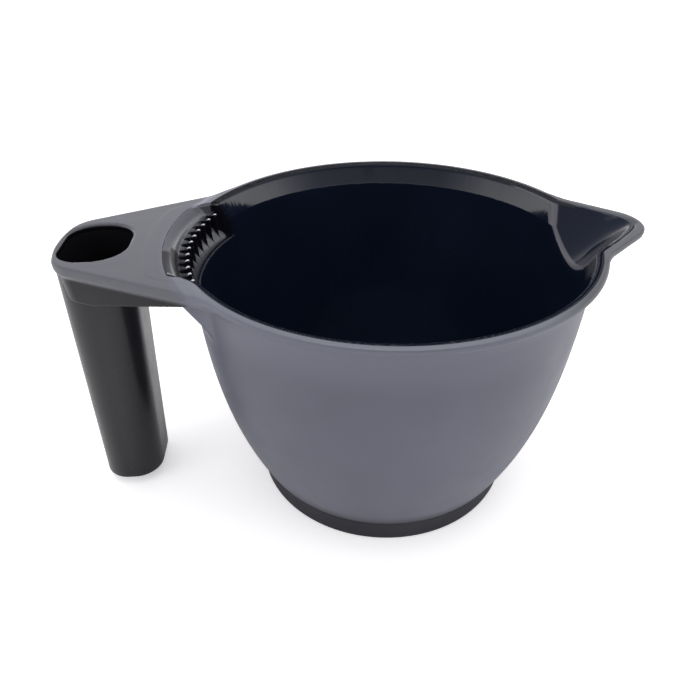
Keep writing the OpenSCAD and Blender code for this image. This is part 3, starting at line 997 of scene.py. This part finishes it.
# painted light: the rim's inner edge is lighter grey on the far side
retint(M_SHELL, lambda t: far_side_lit(t, inner_edge_mask), (0.030, 0.031, 0.036), 0.40)
retint(M_SHELL, pocket_mask, (0.006, 0.006, 0.010), 0.08)
retint(M_SHELL, hole_mask, (0.004, 0.004, 0.005), 0.2)
M_TUBE = satin("satin_tube", (0.008, 0.008, 0.010), rough=0.25, edge=0.12, bump=0.03)
M_CAP = satin("satin_cap", (0.012, 0.012, 0.014), rough=0.36, edge=0.2)
M_LINER = gloss("gloss_black", (0.0060, 0.0095, 0.0215), worn_col=(0.10, 0.10, 0.115), edge=0.7)
M_COMB = gloss("gloss_comb", (0.006, 0.006, 0.010), rough=0.07, worn_col=(0.10, 0.10, 0.12), edge=0.5)
# painted reflection on the near side of the spout channel
retint(M_LINER, near_side_reflection_mask, (0.045, 0.045, 0.052), 0.28)
# painted highlight along the spout mouth's edge
retint(M_LINER, mouth_highlight_mask, (0.105, 0.105, 0.122), 0.32)
retint(M_LINER, liner_lip_mask, (0.006, 0.009, 0.018), 0.40, 0.06)
# painted light: the liner's lip is lighter grey on the far side
retint(M_LINER, lambda t: far_side_lit(t, liner_lip_mask), (0.030, 0.031, 0.036), 0.40)
# painted light on the pocket's bevel
retint(M_COMB, bevel_lit_mask, (0.085, 0.087, 0.10), 0.30)
# painted light on the back slope
retint(M_COMB, back_lit_mask, (0.088, 0.092, 0.105), 0.22)
# painted shadow on the back slope's near end
retint(M_COMB, back_shadow_mask, (0.009, 0.009, 0.012), 0.35, 0.15)
# painted light on the comb's ledge
retint(M_COMB, ledge_lit_mask, (0.085, 0.088, 0.10), 0.20)
# painted highlight on the nub tops
retint(M_COMB, nub_highlight_mask, (0.62, 0.62, 0.66), 0.25)
M_FOOT = rubber("foot_rubber", (0.036, 0.036, 0.044))

# ---------------------------------------------------------------------------
# Build
# ---------------------------------------------------------------------------
hs = 0.5
shell = sdf_piece("bowl_shell_moulding", f_shell, (-108, -70, 0), (86, 70, H + 2.5), hs, 185000, 1.5)
liner = sdf_piece("bowl_liner_skin", f_liner, (-72, -68, 7), (84, 68, H + 2.5), 0.5, 150000, 1.5)
comb = sdf_piece("brush_comb_insert", f_comb, (-73, -34, 79), (-50, 34, H + 1.5), 0.17, 180000, 1.6)
tube = make_tube(); sharp_by_angle(tube, 35)
cap = make_cap(); sharp_by_angle(cap, 35)
foot = make_foot(); sharp_by_angle(foot, 38)

for ob, node, slot, mat in ((shell, "bowl_shell", "satin_shell", M_SHELL), (liner, "bowl_liner", "gloss_liner", M_LINER),
                            (comb, "brush_comb", "gloss_comb", M_COMB), (tube, "handle_tube", "satin_tube", M_TUBE),
                            (cap, "handle_end_cap", "satin_cap", M_CAP), (foot, "foot_ring", "foot_rubber", M_FOOT)):
    ob.data.materials.clear()
    ob.data.materials.append(mat)
    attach(ob, "root")
    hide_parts(node)
for n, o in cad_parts.items():
    o.data.materials.clear()
    o.data.materials.append({"bowl_shell": M_SHELL, "bowl_liner": M_LINER, "brush_comb": M_COMB, "handle_tube": M_TUBE,
                             "handle_end_cap": M_CAP, "foot_ring": M_FOOT}[n])

# ---------------------------------------------------------------------------
# Stage, light, camera
# ---------------------------------------------------------------------------
scn = bpy.context.scene
bm = bmesh.new()
bmesh.ops.create_grid(bm, x_segments=8, y_segments=8, size=3.0)
fm = bpy.data.meshes.new("floor"); bm.to_mesh(fm); bm.free()
floor = bpy.data.objects.new("floor", fm)
scn.collection.objects.link(floor)
floor.location = (0, 0, -0.0002)
fmat = bpy.data.materials.new("floor_white")
t, bs = nt(fmat)
tc = t.nodes.new("ShaderNodeTexCoord")
nz = noise(t, tc.outputs["Object"], 3, 2, 0.5)
rp = ramp(t, nz.outputs[0], [(0.3, (0.93, 0.925, 0.94, 1)), (0.7, (0.95, 0.945, 0.96, 1))])
t.links.new(rp.outputs[0], bs.inputs["Base Color"])
bs.inputs["Roughness"].default_value = 0.8
bs.inputs["Specular IOR Level"].default_value = 0.1
bs.inputs["Emission Color"].default_value = (1.0, 0.985, 1.0, 1)
flp = t.nodes.new("ShaderNodeLightPath")
t.links.new(math_node(t, "MULTIPLY", flp.outputs["Is Camera Ray"], 0.45), bs.inputs["Emission Strength"])
fm.materials.append(fmat)

world = bpy.data.worlds.new("world"); scn.world = world
world.use_nodes = True
wt = world.node_tree
for n in list(wt.nodes):
    wt.nodes.remove(n)
wo = wt.nodes.new("ShaderNodeOutputWorld")
lp = wt.nodes.new("ShaderNodeLightPath")
wtc = wt.nodes.new("ShaderNodeTexCoord")
wsp = wt.nodes.new("ShaderNodeSeparateXYZ")
wt.links.new(wtc.outputs["Generated"], wsp.inputs[0])
# what glossy surfaces see: a bright sweep at the horizon, a dim room above
gl = ramp(wt, wsp.outputs[2], [(0.0, (1.0, 1.0, 1.0, 1)), (0.12, (1.0, 1.0, 1.0, 1)), (0.32, (0.34, 0.34, 0.36, 1)),
                              (0.5, (0.16, 0.16, 0.18, 1)), (1.0, (0.13, 0.13, 0.15, 1))])
front = maprange(wt, wsp.outputs[1], -0.35, -0.75, 0.0, 1.0)
above = maprange(wt, wsp.outputs[2], 0.08, 0.16, 0.0, 1.0)
top = maprange(wt, wsp.outputs[2], 0.88, 0.95, 0.0, 1.0)
dim = math_node(wt, "SUBTRACT", 1.0, math_node(wt, "MULTIPLY", math_node(wt, "MULTIPLY", front.outputs[0], above.outputs[0]), 0.62))
env = mix(wt, 1.0, gl.outputs[0], mix(wt, dim, (0, 0, 0, 1), (1, 1, 1, 1)), "MULTIPLY")
env = mix(wt, top.outputs[0], env, (0.88, 0.84, 1.0, 1))
bg_g = wt.nodes.new("ShaderNodeBackground"); wt.links.new(env, bg_g.inputs[0]); bg_g.inputs[1].default_value = 2.1
bg_d = wt.nodes.new("ShaderNodeBackground"); bg_d.inputs[0].default_value = (1.0, 0.99, 1.0, 1); bg_d.inputs[1].default_value = 0.62
bg_c = wt.nodes.new("ShaderNodeBackground"); bg_c.inputs[0].default_value = (1, 1, 1, 1); bg_c.inputs[1].default_value = 1.05
m1 = wt.nodes.new("ShaderNodeMixShader"); m2 = wt.nodes.new("ShaderNodeMixShader")
wt.links.new(lp.outputs["Is Glossy Ray"], m1.inputs[0])
wt.links.new(bg_d.outputs[0], m1.inputs[1]); wt.links.new(bg_g.outputs[0], m1.inputs[2])
wt.links.new(lp.outputs["Is Camera Ray"], m2.inputs[0])
wt.links.new(m1.outputs[0], m2.inputs[1]); wt.links.new(bg_c.outputs[0], m2.inputs[2])
wt.links.new(m2.outputs[0], wo.inputs[0])


def area(name, loc, target, sx, sy, power, col=(1, 1, 1)):
    L = bpy.data.lights.new(name, "AREA")
    L.shape = "RECTANGLE"; L.size = sx; L.size_y = sy
    L.energy = power; L.color = col
    o = bpy.data.objects.new(name, L)
    scn.collection.objects.link(o)
    o.location = loc
    o.rotation_euler = (Vector(target) - Vector(loc)).to_track_quat("-Z", "Y").to_euler()
    o.visible_glossy = False
    o.visible_camera = False
    return o


area("key_top", (0.0, 0.10, 0.80), (0, 0, 0.05), 0.9, 0.7, 4.0)
area("fill_left", (-0.75, -0.45, 0.55), (-0.03, 0, 0.05), 0.6, 0.6, 1.6)
area("fill_right", (0.75, -0.35, 0.40), (0.02, 0, 0.05), 0.5, 0.6, 1.0)

scn.view_settings.view_transform = "Standard"
scn.view_settings.look = "None"
scn.view_settings.exposure = 0.0

cam = bpy.data.cameras.new("camera")
cam.sensor_width = 36.0
cam.lens = 33.02
cam.clip_start = 0.01
co = bpy.data.objects.new("camera", cam)
scn.collection.objects.link(co)
C = Vector((-26.6, -189.5, 181.05)) * MM
right = Vector((0.9973, -0.0742, -0.0014))
down = Vector((-0.0437, -0.5719, -0.8192))
fwd = Vector((0.0600, 0.8170, -0.5736))
up = -down
R = Matrix((right, up, -fwd)).transposed()
q = R.to_quaternion(); q.normalize()
co.matrix_world = Matrix.Translation(C) @ q.to_matrix().to_4x4()
scn.camera = co

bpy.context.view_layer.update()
